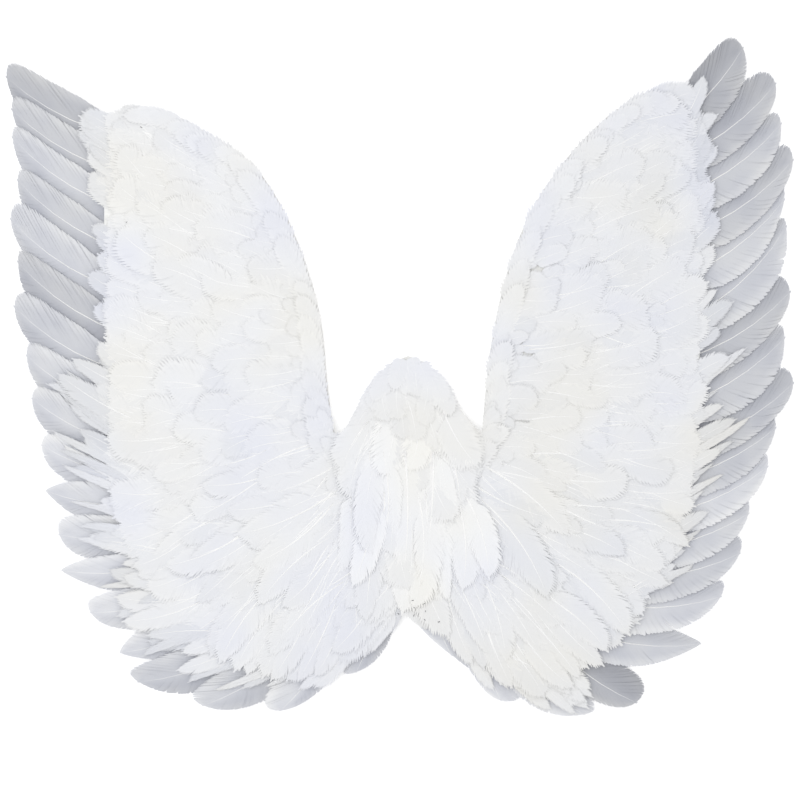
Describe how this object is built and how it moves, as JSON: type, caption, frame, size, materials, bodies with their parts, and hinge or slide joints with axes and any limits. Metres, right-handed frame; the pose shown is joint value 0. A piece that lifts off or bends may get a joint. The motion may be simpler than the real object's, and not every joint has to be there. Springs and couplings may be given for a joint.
{
  "type": "feathered angel wings",
  "caption": "Pair of swept feathered costume wings joined at a bell-shaped yoke, with soft coverts over a card and long flight feathers round its edge.",
  "frame": {"origin": "under the middle of the whole, on the surface that the wings lie on", "axes": "+X across the span to the wing on the right of the picture, +Y towards the wing tips, +Z out of the plumage"},
  "size_m": [0.7872, 0.6734, 0.0274],
  "materials": {
    "card": "matt white fibre card",
    "flight_feather": "thin silky grey-white vanes on pale quills",
    "covert_feather": "soft white vanes",
    "down_feather": "fluffy warm white down",
    "elastic": "ribbed woven elastic"
  },
  "bodies": {
    "root": {"backing_card": "card", "left_flight_feather_01": "flight_feather", "left_flight_feather_02": "flight_feather", "left_flight_feather_03": "flight_feather", "left_flight_feather_04": "flight_feather", "left_flight_feather_05": "flight_feather", "left_flight_feather_06": "flight_feather", "left_flight_feather_07": "flight_feather", "left_flight_feather_08": "flight_feather", "left_flight_feather_09": "flight_feather", "left_flight_feather_10": "flight_feather", "left_flight_feather_11": "flight_feather", "left_flight_feather_12": "flight_feather", "left_flight_feather_13": "flight_feather", "left_flight_feather_14": "flight_feather", "left_flight_feather_15": "flight_feather", "left_flight_feather_16": "flight_feather", "left_flight_feather_17": "flight_feather", "left_flight_feather_18": "flight_feather", "left_flight_feather_19": "flight_feather", "right_flight_feather_01": "flight_feather", "right_flight_feather_02": "flight_feather", "right_flight_feather_03": "flight_feather", "right_flight_feather_04": "flight_feather", "right_flight_feather_05": "flight_feather", "right_flight_feather_06": "flight_feather", "right_flight_feather_07": "flight_feather", "right_flight_feather_08": "flight_feather", "right_flight_feather_09": "flight_feather", "right_flight_feather_10": "flight_feather", "right_flight_feather_11": "flight_feather", "right_flight_feather_12": "flight_feather", "right_flight_feather_13": "flight_feather", "right_flight_feather_14": "flight_feather", "right_flight_feather_15": "flight_feather", "right_flight_feather_16": "flight_feather", "right_flight_feather_17": "flight_feather", "right_flight_feather_18": "flight_feather", "right_flight_feather_19": "flight_feather", "left_covert_row_1": "covert_feather", "left_covert_row_2": "covert_feather", "left_covert_row_3": "covert_feather", "left_covert_row_4": "covert_feather", "right_covert_row_1": "covert_feather", "right_covert_row_2": "covert_feather", "right_covert_row_3": "covert_feather", "right_covert_row_4": "covert_feather", "yoke_covert_row_1": "covert_feather", "yoke_covert_row_2": "covert_feather", "yoke_covert_row_3": "covert_feather", "centre_tuft": "down_feather", "left_shoulder_elastic": "elastic", "right_shoulder_elastic": "elastic"}
  },
  "joints": []
}
